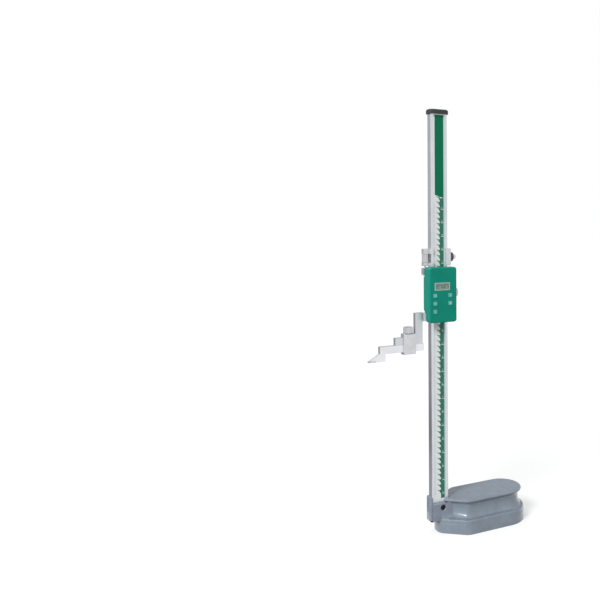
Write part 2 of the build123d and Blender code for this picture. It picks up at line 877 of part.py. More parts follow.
with BuildPart() as housing_front:
    front_sheet(
        housing_width, housing_height, housing_corner, housing_back_y, housing_front_y
    )
    fillet(housing_front.faces().sort_by(Axis.Y)[0].edges(), housing_edge)
    front_sheet(
        housing_width - 2 * housing_wall,
        housing_height - 2 * housing_wall,
        shell_corner,
        housing_back_y,
        shell_back_y,
        mode=Mode.SUBTRACT,
    )
    # bosses of the screws, behind the front wall
    for x, z in post_places:
        post(x, z, shell_back_y, board_front_y)
        with Locations(Plane(origin=(x, board_front_y, z), z_dir=(0, -1, 0))):
            rod(post_screw_radius + seat_gap, board_front_y - shell_back_y, mode=Mode.SUBTRACT)
    # window of the display and holes of the keys
    block(
        (lcd_x - lcd_width / 2, lcd_x + lcd_width / 2),
        (housing_front_y, shell_back_y),
        (lcd_z - lcd_height / 2, lcd_z + lcd_height / 2),
        mode=Mode.SUBTRACT,
    )
    for place in key_places.values():
        front_sheet(
            key_size + 2 * key_gap,
            key_size + 2 * key_gap,
            key_corner + key_gap,
            shell_back_y,
            housing_front_y,
            mode=Mode.SUBTRACT,
            at=place,
        )
    # the left wall steps back over the jaw, with a notch for the lug
    with BuildSketch(across(housing_left, 0, 0)):
        Polygon(
            (housing_back_y, housing_foot_z),
            (housing_back_y, housing_foot_z + step_height + step_slope_height),
            (housing_back_y - step_depth, housing_foot_z + step_height),
            (housing_back_y - step_depth, housing_foot_z),
            align=None,
        )
    extrude(amount=rail_left - housing_left, mode=Mode.SUBTRACT)
    block(
        (housing_left, rail_left),
        (-jaw_half_thickness - key_gap, housing_back_y),
        (fine_rod_foot_z - key_gap, housing_top_z),
        mode=Mode.SUBTRACT,
    )
    # way through for the slider frame and the column
    block(
        (rail_left - key_gap, rail_right + key_gap),
        (rail_front - key_gap, housing_back_y),
        (housing_foot_z, housing_top_z),
        mode=Mode.SUBTRACT,
    )
    # notches in the right wall for the lock screw and the gib screws
    for screw_z, notch in (
        (lock_z, lock_shank_radius + key_gap),
        *((z, 2 * gib_screw_radius) for z in gib_screw_zs),
    ):
        block(
            (housing_right - housing_wall, housing_right),
            (-notch, housing_back_y),
            (screw_z - notch, screw_z + notch),
            mode=Mode.SUBTRACT,
        )
    # slot of the battery tray
    block(
        (housing_right - housing_wall, housing_right),
        (tray_front_y - key_gap, tray_back_y + key_gap),
        (tray_foot_z - key_gap, tray_top_z + key_gap),
        mode=Mode.SUBTRACT,
    )
save(housing_front, "housing_front")

with BuildPart() as housing_back:
    back_inset = housing_wall + key_gap
    front_sheet(
        housing_width - 2 * back_inset,
        housing_height - 2 * back_inset,
        shell_corner,
        rail_front,
        back_plate_front_y,
    )
    # posts that carry the board
    for x, z in post_places:
        post(x, z, board_back_y, back_plate_front_y)
        with Locations(Plane(origin=(x, rail_front, z), z_dir=(0, -1, 0))):
            rod(post_screw_radius + seat_gap, rail_front - board_back_y, mode=Mode.SUBTRACT)
            rod(post_screw_head_radius + seat_gap, post_screw_head, mode=Mode.SUBTRACT)
    for x, z in module_screw_places:
        with Locations(Plane(origin=(x, rail_front, z), z_dir=(0, -1, 0))):
            rod(
                module_screw_radius + seat_gap,
                rail_front - back_plate_front_y,
                mode=Mode.SUBTRACT,
            )
    # opening of the sensor board
    block(
        (-rail_lip_x, rail_lip_x),
        (back_plate_front_y, rail_front),
        (lock_z - sensor_length / 2, lock_z + sensor_length / 2),
        mode=Mode.SUBTRACT,
    )
    # rails that guide the battery tray
    for rail_z in (tray_foot_z - key_gap, tray_top_z + key_gap + housing_wall):
        block(
            (tray_left, housing_right - back_inset),
            (tray_back_y - housing_wall, back_plate_front_y),
            (rail_z - housing_wall, rail_z),
        )
save(housing_back, "housing_back")

with BuildPart() as housing_screws:
    for x, z in post_places:
        with Locations(Plane(origin=(x, rail_front, z), z_dir=(0, -1, 0))):
            rod(post_screw_head_radius, post_screw_head)
            rod(post_screw_radius, rail_front - shell_back_y - housing_wall)
save(housing_screws, "housing_screws")

with BuildPart() as main_board:
    board_inset = housing_wall + board_margin
    front_sheet(
        housing_width - 2 * board_inset,
        housing_height - 2 * board_inset,
        shell_corner,
        board_back_y,
        board_front_y,
    )
    for x, z in post_places:
        with Locations(Plane(origin=(x, board_back_y, z), z_dir=(0, -1, 0))):
            rod(post_screw_radius + seat_gap, board_thickness, mode=Mode.SUBTRACT)
save(main_board, "main_board")

with BuildPart() as key_switches:
    for x, z in key_places.values():
        block(
            (x - switch_size / 2, x + switch_size / 2),
            (switch_face_y, board_front_y),
            (z - switch_size / 2, z + switch_size / 2),
        )
save(key_switches, "key_switches")

with BuildPart() as sensor_board:
    block(
        (-rail_lip_x + key_gap, rail_lip_x - key_gap),
        (back_plate_front_y, sensor_face_y),
        (
            lock_z - sensor_length / 2 + key_gap,
            lock_z + sensor_length / 2 - key_gap,
        ),
    )
save(sensor_board, "sensor_board")

with BuildPart() as lcd_bezel:
    block(
        (lcd_x - lcd_width / 2, lcd_x + lcd_width / 2),
        (housing_front_y - bezel_proud, shell_back_y),
        (lcd_z - lcd_height / 2, lcd_z + lcd_height / 2),
    )
    fillet(lcd_bezel.faces().sort_by(Axis.Y)[0].edges(), bezel_proud)
    block(
        (lcd_x - lcd_width / 2 + bezel_width, lcd_x + lcd_width / 2 - bezel_width),
        (housing_front_y - bezel_proud, shell_back_y),
        (lcd_z - lcd_height / 2 + bezel_width, lcd_z + lcd_height / 2 - bezel_width),
        mode=Mode.SUBTRACT,
    )
save(lcd_bezel, "lcd_bezel")

with BuildPart() as lcd_window:
    block(
        (lcd_x - lcd_width / 2 + bezel_width, lcd_x + lcd_width / 2 - bezel_width),
        (shell_back_y - lcd_window_thickness, shell_back_y),
        (lcd_z - lcd_height / 2 + bezel_width, lcd_z + lcd_height / 2 - bezel_width),
    )
save(lcd_window, "lcd_window")

with BuildPart() as lcd_module:
    block(
        (lcd_x - lcd_width / 2 - lcd_border, lcd_x + lcd_width / 2 + lcd_border),
        (shell_back_y + key_gap, board_front_y),
        (lcd_z - lcd_height / 2 - lcd_border, lcd_z + lcd_height / 2 + lcd_border),
    )
    chamfer(lcd_module.faces().sort_by(Axis.Y)[0].edges(), key_gap)
save(lcd_module, "lcd_module")

for key_name, place in key_places.items():
    with BuildPart() as key:
        flange_face_y = shell_back_y + key_gap
        front_sheet(
            key_size,
            key_size,
            key_corner,
            switch_face_y - key_travel - thread_gap,
            housing_front_y - key_proud,
            at=place,
        )
        chamfer(key.faces().sort_by(Axis.Y)[0].edges(), key_edge)
        key_x, key_z = place
        flange_reach = key_size / 2 + key_flange
        block(
            (key_x - flange_reach, key_x + flange_reach),
            (flange_face_y, flange_face_y + key_flange_thickness),
            (key_z - flange_reach, key_z + flange_reach),
        )
    save(key, key_name)

with BuildPart() as battery_contacts:
    for x in (cell_x - contact_offset, cell_x + contact_offset):
        block(
            (x - contact_width / 2, x + contact_width / 2),
            (board_back_y, board_back_y + contact_thickness),
            (cell_z - contact_length / 2, cell_z + contact_length / 2),
        )
save(battery_contacts, "battery_contacts")

with BuildPart() as battery_tray:
    block(
        (tray_left, housing_right),
        (tray_front_y, tray_back_y),
        (tray_foot_z, tray_top_z),
    )
    with Locations(Plane(origin=(cell_x, tray_front_y, cell_z), z_dir=(0, 1, 0))):
        rod(cell_radius + seat_gap, cell_thickness + seat_gap, mode=Mode.SUBTRACT)
save(battery_tray, "battery_tray")

with BuildPart(Plane(origin=(cell_x, tray_front_y, cell_z), z_dir=(0, 1, 0))) as battery_cell:
    rod(cell_radius, cell_thickness)
save(battery_cell, "battery_cell")
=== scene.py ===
import math
from collections import namedtuple

import bmesh
import bpy
from mathutils import Matrix, Vector


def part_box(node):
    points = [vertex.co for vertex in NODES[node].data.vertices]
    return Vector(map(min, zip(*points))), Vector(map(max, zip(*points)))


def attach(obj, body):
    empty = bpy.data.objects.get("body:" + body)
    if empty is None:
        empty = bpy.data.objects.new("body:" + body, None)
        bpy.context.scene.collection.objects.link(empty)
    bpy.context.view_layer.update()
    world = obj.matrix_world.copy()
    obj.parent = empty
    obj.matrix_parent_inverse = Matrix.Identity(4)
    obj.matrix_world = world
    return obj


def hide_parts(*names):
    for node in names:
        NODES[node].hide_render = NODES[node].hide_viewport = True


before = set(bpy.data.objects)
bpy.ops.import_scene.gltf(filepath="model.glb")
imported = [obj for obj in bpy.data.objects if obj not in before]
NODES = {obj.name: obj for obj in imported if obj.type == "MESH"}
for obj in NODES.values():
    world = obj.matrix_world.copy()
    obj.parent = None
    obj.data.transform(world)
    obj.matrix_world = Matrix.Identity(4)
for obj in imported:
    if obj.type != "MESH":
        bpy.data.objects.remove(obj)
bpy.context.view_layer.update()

MM = 0.001

# ---------------------------------------------------------------- camera of the view
VIEW_ANGLE = math.radians(26.8)          # of the view, from +Y towards +X
VIEW_ROLL = math.radians(0.25)
CAMERA_DISTANCE = 1.2878                 # from the column, along the view
CAMERA_ASIDE = 0.01552
CAMERA_HEIGHT = 0.5715
FRAME_PIXELS = 600
FOCAL_PIXELS = 682.9
CENTRE_PIXEL_X = 445.7                   # where the lens axis meets the picture
CENTRE_PIXEL_Y = 226.6
SENSOR_MM = 36.0
CLIP_START = 0.05


def srgb(r, g, b):
    """A screen colour, 0 to 255, as the linear colour that the shaders take."""
    def linear(v):
        v /= 255
        return v / 12.92 if v <= 0.04045 else ((v + 0.055) / 1.055) ** 2.4
    return (linear(r), linear(g), linear(b), 1.0)


def tint(colour, share):
    """The same colour, lighter or darker by a share."""
    return tuple(min(1.0, c * (1 + share)) for c in colour[:3]) + (1.0,)


# ---------------------------------------------------------------- materials
class Shader:
    """A principled material whose colour, roughness and relief come from nodes."""

    def __init__(self, name, colour, roughness, metallic=0.0):
        self.material = bpy.data.materials.new(name)
        self.material.use_nodes = True
        self.tree = self.material.node_tree
        self.surface = self.tree.nodes["Principled BSDF"]
        self.surface.inputs["Base Color"].default_value = colour
        self.surface.inputs["Roughness"].default_value = roughness
        self.surface.inputs["Metallic"].default_value = metallic
        self.material.diffuse_color = colour
        self.place = self.node("ShaderNodeTexCoord").outputs["Object"]
        self.relief = None

    def node(self, kind, **settings):
        made = self.tree.nodes.new(kind)
        for key, value in settings.items():
            setattr(made, key, value)
        return made

    def link(self, output, target):
        self.tree.links.new(output, target)

    def set(self, **sockets):
        """Values that are the same all over the surface, on the shader's own sockets."""
        for key, value in sockets.items():
            self.surface.inputs[key.replace("_", " ")].default_value = value
        return self

    def noise(self, scale, stretch=(1, 1, 1), detail=3.0, rough=0.55):
        """A noise pattern in metres, stretched by a factor on each axis."""
        mapping = self.node("ShaderNodeMapping")
        mapping.inputs["Scale"].default_value = stretch
        self.link(self.place, mapping.inputs["Vector"])
        pattern = self.node("ShaderNodeTexNoise")
        pattern.inputs["Scale"].default_value = scale
        pattern.inputs["Detail"].default_value = detail
        pattern.inputs["Roughness"].default_value = rough
        self.link(mapping.outputs["Vector"], pattern.inputs["Vector"])
        return pattern.outputs["Fac"]

    def remap(self, value, low, high, start=0.3, end=0.7):
        ranged = self.node("ShaderNodeMapRange")
        ranged.inputs["From Min"].default_value = start
        ranged.inputs["From Max"].default_value = end
        ranged.inputs["To Min"].default_value = low
        ranged.inputs["To Max"].default_value = high
        self.link(value, ranged.inputs["Value"])
        return ranged.outputs["Result"]

    def blend_colour(self, value, dark, light, start=0.3, end=0.7):
        mix = self.node("ShaderNodeMix", data_type="RGBA")
        self.link(self.remap(value, 0.0, 1.0, start, end), mix.inputs["Factor"])
        mix.inputs["A"].default_value = dark
        mix.inputs["B"].default_value = light
        colour = mix.outputs["Result"]
        self.link(colour, self.surface.inputs["Base Color"])
        return colour

    def zone(self, axis, start, end):
        """0 before one place along an axis of the piece, 1 past the other."""
        axes = self.node("ShaderNodeSeparateXYZ")
        self.link(self.place, axes.inputs["Vector"])
        return self.remap(axes.outputs[axis], 0.0, 1.0, start, end)

    def both(self, one, other):
        """1 where two zones are."""
        made = self.node("ShaderNodeMath", operation="MULTIPLY")
        self.link(one, made.inputs[0])
        self.link(other, made.inputs[1])
        return made.outputs["Value"]

    def lay_over(self, inside, colour, metallic=None):
        """Another colour, and another share of metal, where a zone is 1."""
        mix = self.node("ShaderNodeMix", data_type="RGBA")
        self.link(inside, mix.inputs["Factor"])
        self.link(self.surface.inputs["Base Color"].links[0].from_socket, mix.inputs["A"])
        mix.inputs["B"].default_value = colour
        self.link(mix.outputs["Result"], self.surface.inputs["Base Color"])
        if metallic is not None:
            plain = self.surface.inputs["Metallic"].default_value
            self.link(self.remap(inside, plain, metallic, 0.0, 1.0), self.surface.inputs["Metallic"])
        return self

    def vary_roughness(self, value, low, high):
        self.link(self.remap(value, low, high), self.surface.inputs["Roughness"])

    def bump(self, value, depth):
        """Relief of a depth in metres, laid over any relief before it."""
        made = self.node("ShaderNodeBump")
        made.inputs["Distance"].default_value = depth
        made.inputs["Strength"].default_value = 1.0
        self.link(value, made.inputs["Height"])
        if self.relief is not None:
            self.link(self.relief, made.inputs["Normal"])
        self.relief = made.outputs["Normal"]
        self.link(self.relief, self.surface.inputs["Normal"])
        return self

    def soften_edges(self, radius):
        """Rounded highlights along the edges."""
        made = self.node("ShaderNodeBevel", samples=4)
        made.inputs["Radius"].default_value = radius
        self.relief = made.outputs["Normal"]
        self.link(self.relief, self.surface.inputs["Normal"])
        return self


def casting_paint():
    """Glossy blue-grey enamel over a filled casting."""
    colour = srgb(112, 124, 137)
    made = Shader("casting_paint", colour, 0.34)
    made.set(Coat_Weight=1.0, Coat_Roughness=0.19)
    made.soften_edges(0.8 * MM)
    cloudy = made.noise(52, detail=5, rough=0.62)
    made.blend_colour(cloudy, tint(colour, -0.14), tint(colour, 0.13))
    made.vary_roughness(made.noise(60, detail=5), 0.22, 0.42)
    made.bump(made.noise(60, detail=2), 0.6 * MM)
    made.bump(made.noise(520, detail=2), 0.035 * MM)
    return made.material


LOCK_HEAD = 6.4 * MM                     # length of the carriage lock's head
# Where the jaw's web is painted lighter, as painted light against the housing's shade and reflection
WEB_LEFT = -33.2 * MM                    # where the jaw's web starts
WEB_RISE = 18 * MM                       # and its top, above the housing's foot
LOCK_SEAM = 0.05 * MM                    # over which each finish gives way to the next
WEB_SEAM_X = 2.5 * MM
WEB_SEAM_Z = 1 * MM


def steel_shader(name, colour, roughness, along, metallic=0.92, grain=0.004, edge=0.3):
    """Ground or satin-plated steel, with its grain along one axis."""
    made = Shader(name, colour, roughness, metallic)
    made.set(Anisotropic=0.35)
    made.soften_edges(edge * MM)
    fine = tuple(0.02 if axis == along else 1.0 for axis in "xyz")
    lines = made.noise(2600, stretch=fine, detail=4, rough=0.7)
    made.vary_roughness(lines, roughness - 0.07, roughness + 0.09)
    clouds = made.noise(22, detail=5)
    made.blend_colour(clouds, tint(colour, -0.07), tint(colour, 0.06))
    made.bump(lines, grain * MM)
    return made


def steel(name, colour, roughness, along, edge=0.3):
    return steel_shader(name, colour, roughness, along, edge=edge).material


def satin_shader(name, colour, roughness, metallic=0.85):
    """Plated steel with an even, fine-blasted surface, as a shader that can take more."""
    made = Shader(name, colour, roughness, metallic)
    made.soften_edges(0.25 * MM)
    fine = made.noise(3200, detail=3)
    made.vary_roughness(fine, roughness - 0.06, roughness + 0.08)
    made.blend_colour(made.noise(90, detail=4), tint(colour, -0.08), tint(colour, 0.06))
    made.bump(fine, 0.006 * MM)
    return made


def satin(name, colour, roughness, metallic=0.85):
    return satin_shader(name, colour, roughness, metallic).material


def own_place(node, place):
    """A place in the scene at rest, in the coordinates of a piece."""
    return NODES[node].matrix_world.inverted() @ Vector(place)


def lock_steel():
    """A dark knurled disc with a bright domed head."""
    made = satin_shader("lock_steel", srgb(84, 84, 88), 0.38)
    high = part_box("carriage_lock_screw")[1]
    seam = own_place("carriage_lock_screw", (high.x - LOCK_HEAD, 0, 0)).x
    return made.lay_over(made.zone("X", seam, seam + LOCK_SEAM), srgb(206, 206, 208)).material


def slider_steel():
    """The jaw's ground steel, painted lighter and made less metallic on the web beside the slideway, as
    a painted highlight where the housing's shade and reflection fall.
    """
    web = own_place("slider_frame", (WEB_LEFT, 0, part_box("housing_front")[0].z + WEB_RISE))
    made = steel_shader("slider_steel", srgb(200, 203, 208), 0.34, "x")
    # Painted highlight: the web is lighter and less metallic than the rest of the jaw, where the housing
    # shades it and shows in it
    inside = made.both(made.zone("X", web.x, web.x + WEB_SEAM_X),
                       made.zone("Z", web.z + WEB_SEAM_Z, web.z))
    return made.lay_over(inside, srgb(236, 238, 242), 0.1).material


def plastic(name, colour, roughness, grain_depth=0.02, gloss=0.15):
    """Moulded plastic with a fine spark-eroded grain."""
    made = Shader(name, colour, roughness)
    made.set(Specular_IOR_Level=gloss)
    made.soften_edges(0.3 * MM)
    fine = made.noise(1500, detail=3)
    made.vary_roughness(fine, roughness - 0.06, roughness + 0.1)
    made.blend_colour(made.noise(35, detail=4), tint(colour, -0.08), tint(colour, 0.07))
    made.bump(fine, grain_depth * MM)
    return made.material


def ink(name, colour):
    """Screen-printed ink, a little uneven."""
    made = Shader(name, colour, 0.45)
    made.set(Specular_IOR_Level=0.1)
    uneven = made.noise(700, detail=4)
    made.blend_colour(uneven, tint(colour, -0.1), tint(colour, 0.08))
    made.vary_roughness(uneven, 0.38, 0.55)
    return made.material


def clear_window():
    """A thin clear pane with faint wiping marks."""
    made = Shader("clear_window", (0.95, 1.0, 0.98, 1.0), 0.05)
    made.set(Transmission_Weight=1.0, IOR=1.2)
    made.vary_roughness(made.noise(160, stretch=(1, 1, 0.2), detail=4), 0.02, 0.09)
    return made.material


def circuit_board():
    """Green solder mask with fine copper tracks under it."""
    made = Shader("circuit_board", srgb(20, 92, 50), 0.35)
    tracks = made.node("ShaderNodeTexBrick", offset=0.5)
    tracks.inputs["Scale"].default_value = 260
    tracks.inputs["Mortar Size"].default_value = 0.03
    made.link(made.place, tracks.inputs["Vector"])
    mix = made.node("ShaderNodeMix", data_type="RGBA")
    made.link(tracks.outputs["Fac"], mix.inputs["Factor"])
    mix.inputs["A"].default_value = srgb(18, 84, 46)
    mix.inputs["B"].default_value = srgb(46, 128, 70)
    made.link(mix.outputs["Result"], made.surface.inputs["Base Color"])
    return made.material


PAINT = casting_paint()
COLUMN_STEEL = steel("column_steel", srgb(206, 209, 213), 0.30, "z")
FRAME_STEEL = satin("frame_steel", srgb(205, 206, 209), 0.36)
JAW_STEEL = slider_steel()
SCRIBER_STEEL = steel("scriber_steel", srgb(224, 225, 228), 0.34, "x")
KNURL_BRIGHT = satin("knurl_bright", srgb(196, 197, 200), 0.30)
LOCK_STEEL = lock_steel()
DARK_SCREW = satin("dark_screw", srgb(40, 41, 46), 0.42)
BRIGHT_SCREW = satin("bright_screw", srgb(205, 205, 208), 0.25)
CARBIDE = steel("carbide", srgb(196, 198, 202), 0.28, "x", edge=0.1)
BRASS = steel("gib_brass", srgb(205, 170, 96), 0.35, "z")
BLACK_PLASTIC = plastic("black_plastic", srgb(60, 65, 64), 0.5)
HOUSING_GREEN = plastic("housing_green", srgb(4, 132, 112), 0.34)
KEY_PLASTIC = plastic("key_plastic", srgb(84, 172, 163), 0.42)
BEZEL_PLASTIC = plastic("bezel_plastic", srgb(176, 200, 196), 0.35)
LCD_FILM = plastic("lcd_film", srgb(138, 152, 142), 0.3, grain_depth=0.004)
LABEL_SILVER = ink("label_silver", srgb(226, 232, 231))
INK_GREEN = ink("ink_green", srgb(58, 118, 100))
INK_TOP_GREEN = ink("ink_top_green", srgb(14, 112, 80))
INK_DARK = ink("ink_dark", srgb(52, 60, 60))
INK_MINT = ink("ink_mint", srgb(194, 216, 208))
INK_PALE = ink("ink_pale", srgb(222, 238, 230))
SEGMENT_INK = ink("segment_ink", srgb(28, 34, 34))
WINDOW = clear_window()
BOARD = circuit_board()

FINISH = {
    "base_casting": PAINT,
    "column_beam": COLUMN_STEEL,
    "scale_strip": BOARD,
    "scale_label": LABEL_SILVER,
    "column_cap": BLACK_PLASTIC,
    "column_set_screw": DARK_SCREW,
    "column_foot_screw": DARK_SCREW,
    "slider_frame": JAW_STEEL,
    "slider_gib": BRASS,
    "gib_screws": DARK_SCREW,
    "slider_lock_screw": KNURL_BRIGHT,
    "fine_adjust_screw": BRIGHT_SCREW,
    "fine_screw_nut": BRIGHT_SCREW,
    "module_screws": DARK_SCREW,
    "fine_adjust_frame": FRAME_STEEL,
    "carriage_gib": BRASS,
    "carriage_lock_screw": LOCK_STEEL,
    "fine_adjust_wheel": KNURL_BRIGHT,
    "scriber_bar": SCRIBER_STEEL,
    "carbide_tip": CARBIDE,
    "scriber_clamp": FRAME_STEEL,
    "scriber_clamp_screw": KNURL_BRIGHT,
    "housing_front": HOUSING_GREEN,
    "housing_back": BLACK_PLASTIC,
    "housing_screws": DARK_SCREW,
    "main_board": BOARD,
    "key_switches": BLACK_PLASTIC,
    "sensor_board": BOARD,
    "battery_contacts": BRASS,
    "lcd_bezel": BEZEL_PLASTIC,
    "lcd_window": WINDOW,
    "lcd_module": LCD_FILM,
    "button_power": KEY_PLASTIC,
    "button_units": KEY_PLASTIC,
    "button_zero": KEY_PLASTIC,
    "button_preset": KEY_PLASTIC,
    "button_hold": KEY_PLASTIC,
    "battery_tray": HOUSING_GREEN,
    "battery_cell": BRIGHT_SCREW,
}
for node_name, node in NODES.items():
    node.data.materials.clear()
    node.data.materials.append(FINISH[node_name])


# ---------------------------------------------------------------- printed pieces
INK_THICKNESS = 0.02 * MM


def finish_piece(mesh, name, material, body):
    """Put a mesh in the scene, on its body."""
    piece = bpy.data.objects.new(name, mesh)
    bpy.context.scene.collection.objects.link(piece)
    mesh.materials.append(material)
    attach(piece, body)
    return piece


def printed(name, shapes, face_y, material, body, rise=INK_THICKNESS):
    """Flat shapes in X and Z, in metres, printed on a face that looks towards -Y."""
    form = bmesh.new()
    for shape in shapes:
        back = [form.verts.new((x, face_y, z)) for x, z in shape]
        front = [form.verts.new((x, face_y - rise, z)) for x, z in shape]
        form.faces.new(back[::-1])
        form.faces.new(front)
        for i in range(len(shape)):
            j = (i + 1) % len(shape)
            form.faces.new((back[i], back[j], front[j], front[i]))
    bmesh.ops.recalc_face_normals(form, faces=form.faces)
    mesh = bpy.data.meshes.new(name)
    form.to_mesh(mesh)
    form.free()
    return finish_piece(mesh, name, material, body)


def bar(x0, x1, z0, z1):
    """A rectangle between two places in X and Z."""
    return [(x0, z0), (x1, z0), (x1, z1), (x0, z1)]


# Seven-segment figures, on a cell that is one unit wide and two units high.
SEGMENT = 0.2


def segment_bars():
    """The seven bars of a figure, by the letters a to g."""
    t = SEGMENT
    return {
        "a": bar(t / 2, 1 - t / 2, 2 - t, 2),
        "b": bar(1 - t, 1, 1 + t / 2, 2 - t / 2),
        "c": bar(1 - t, 1, t / 2, 1 - t / 2),
        "d": bar(t / 2, 1 - t / 2, 0, t),
        "e": bar(0, t, t / 2, 1 - t / 2),
        "f": bar(0, t, 1 + t / 2, 2 - t / 2),
        "g": bar(t / 2, 1 - t / 2, 1 - t / 2, 1 + t / 2),
    }


FIGURES = {
    "0": "abcdef", "1": "bc", "2": "abged", "3": "abgcd", "4": "fgbc",
    "5": "afgcd", "6": "afgedc", "7": "abc", "8": "abcdefg", "9": "abcfgd",
}


def figure_shapes(text, x, z, width, gap, lean=0.0):
    """The bars of a number whose lower left corner is at x, z."""
    bars = segment_bars()
    shapes = []
    for letter in text:
        if letter == ".":
            dot = bar(x - gap * 0.7, x - gap * 0.7 + SEGMENT * width, z, z + SEGMENT * width)
            shapes.append(dot)
            continue
        for segment in FIGURES[letter]:
            shapes.append([
                (x + (px + lean * pz) * width, z + pz * width) for px, pz in bars[segment]
            ])
        x += width + gap
    return shapes


# ---------------------------------------------------------------- the casting
# The solid's corners where its tapered sides meet the straight ones are rounder than
# the real ones, so the scene draws the casting with crisper corners and fuller coves.
# Sizes here are in millimetres, and so are the outlines until layered() takes them.
Plan = namedtuple("Plan", "half_width taper_reach left round_x side_radius end_radius")
FLANGE = Plan(47.29, 13.7, -5.5, 133.15, 24.0, 20.0)
WAIST = Plan(31.6, -2.8, 12.5, 138.4, 12.0, 4.0)
TAPER = math.radians(37.0)               # of the tapered sides, from the X axis
TAPER_X = math.sin(TAPER)
TAPER_Y = math.cos(TAPER)
SHARP_ANGLE = math.radians(32)           # past which an edge stays sharp
CORNER_STEPS = 6
END_STEPS = 40
COVE_STEPS = 8
FLANGE_TOP = 26.0
BAND_TOP = 18.0
BAND_STEP = 0.4
FLANGE_EDGE = 1.5
COVE_OUT = 9.5                           # the cove over the flange
COVE_UP = 15.0
LIP_FOOT = 55.1
UPPER_COVE_UP = 12.0                     # the cove under the lip
LIP_OUT = 6.4
LIP_EDGE = 1.2
BASE_TOP = 59.6
BOSS_LEFT = -16.6
BOSS_RIGHT = 26.2
BOSS_HALF = 14.0
BOSS_TOP = 53.5
NOSE_LEFT = -22.4
NOSE_HALF = 8.9
NOSE_FOOT = 23.0
NOSE_TOP = 65.4
NOSE_CORNER = 4.5
SOCKET_HALF_X = 17.0
SOCKET_HALF_Y = 7.5
SOCKET_FLOOR = 28.0
SET_SCREW_X = 3.2
SET_SCREW_Z = 46.0
SET_SCREW_RADIUS = 5.0
SET_SCREW_CHAMFER = 1.0
FOOT_SCREW_X = -13.2
FOOT_SCREW_RADIUS = 2.52
RIM = 14.0
RECESS_TOP = 7.0
RECESS_LEFT = 13.0
RIB_PLACES = (63.0, 113.0)
RIB_HALF = 4.0
OVERLAP = 1.0                            # of joined forms, and of cutters past a face
PAST_CHAMFER = 2.0                       # of the set screw's cutter, past the boss
PAST_EDGE = 5.0                          # of the larger cutters
PAST_SIDES = 60.0                        # of the cutters that run right across


def round_corner(before, at, after, radius):
    """Points along the arc that rounds one corner of an outline."""
    at = Vector(at)
    u = (Vector(before) - at).normalized()
    v = (Vector(after) - at).normalized()
    half_angle = u.angle(v) / 2
    start = at + u * radius / math.tan(half_angle)
    end = at + v * radius / math.tan(half_angle)
    centre = at + (u + v).normalized() * radius / math.sin(half_angle)
    a0 = math.atan2(*(start - centre).yx)
    turn = (math.atan2(*(end - centre).yx) - a0 + math.pi) % (2 * math.pi) - math.pi
    return [
        (centre.x + radius * math.cos(a0 + turn * k / CORNER_STEPS),
         centre.y + radius * math.sin(a0 + turn * k / CORNER_STEPS))
        for k in range(CORNER_STEPS + 1)
    ]


def casting_plan(plan, out):
    """The casting's outline from above, moved outward, with the same points at any size."""
    half_width = plan.half_width + out
    reach = plan.taper_reach + out
    left = plan.left - out
    round_x = plan.round_x
    end_y = (reach + TAPER_X * left) / TAPER_Y
    side_x = (half_width * TAPER_Y - reach) / TAPER_X
    path = [(round_x, -half_width), (side_x, -half_width), (left, -end_y),
            (left, end_y), (side_x, half_width), (round_x, half_width)]
    side_radius = plan.side_radius + out
    end_radius = plan.end_radius + out
    radii = (side_radius, end_radius, end_radius, side_radius)
    points = [path[0]]
    for i, radius in enumerate(radii):
        points += round_corner(path[i], path[i + 1], path[i + 2], radius)
    points.append(path[-1])
    for k in range(1, END_STEPS):
        angle = math.pi * (0.5 - k / END_STEPS)
        points.append((round_x + half_width * math.cos(angle), half_width * math.sin(angle)))
    return points


def layered(name, layers):
    """A closed form through outlines with the same number of points, each at a height."""
    form = bmesh.new()
    rings = [[form.verts.new((x * MM, y * MM, z * MM)) for x, y in outline]
             for z, outline in layers]
    for lower, upper in zip(rings, rings[1:]):
        for i in range(len(lower)):
            j = (i + 1) % len(lower)
            form.faces.new((lower[i], lower[j], upper[j], upper[i]))
    form.faces.new(rings[0][::-1])
    form.faces.new(rings[-1])
    bmesh.ops.recalc_face_normals(form, faces=form.faces)
    mesh = bpy.data.meshes.new(name)
    form.to_mesh(mesh)
    form.free()
    return mesh


def prism(name, outline, low, high):
    """An outline carried straight up between two heights."""
    return layered(name, [(low, outline), (high, outline)])


def box_plan(x0, x1, half_y):
    """A rectangle across the X axis."""
    return [(x0, -half_y), (x1, -half_y), (x1, half_y), (x0, half_y)]


def disc_plan(x, y, radius, steps=32):
    """A circle as a polygon."""
    angles = [2 * math.pi * k / steps for k in range(steps)]
    return [(x + radius * math.cos(angle), y + radius * math.sin(angle)) for angle in angles]


def turned(mesh, matrix):
    """The same mesh, moved by a matrix."""
    mesh.transform(matrix)
    return mesh


def combined(body, tool, operation):
    """Two meshes joined, cut or trimmed, as a new mesh."""
    holders = []
    for mesh in (body, tool):
        holder = bpy.data.objects.new(mesh.name, mesh)
        bpy.context.scene.collection.objects.link(holder)
        holders.append(holder)
    change = holders[0].modifiers.new(operation, "BOOLEAN")
    change.operation = operation
    change.solver = "EXACT"
    change.object = holders[1]
    result = bpy.data.meshes.new_from_object(
        holders[0].evaluated_get(bpy.context.evaluated_depsgraph_get()))
    for holder in holders:
        bpy.data.objects.remove(holder)
    return result


def cove_profiles():
    """Both coves of the waist's side, as steps outward from it, each with its height."""
    lip_reach = LIP_OUT - LIP_EDGE
    lower = []
    upper = []
    for k in range(COVE_STEPS + 1):
        angle = math.pi / 2 * k / COVE_STEPS
        fall = 1 - math.sin(angle)
        rise = 1 - math.cos(angle)
        lower.append((COVE_OUT * fall, FLANGE_TOP + COVE_UP * rise))
        upper.append((lip_reach * rise, LIP_FOOT - UPPER_COVE_UP * fall))
    return lower, upper


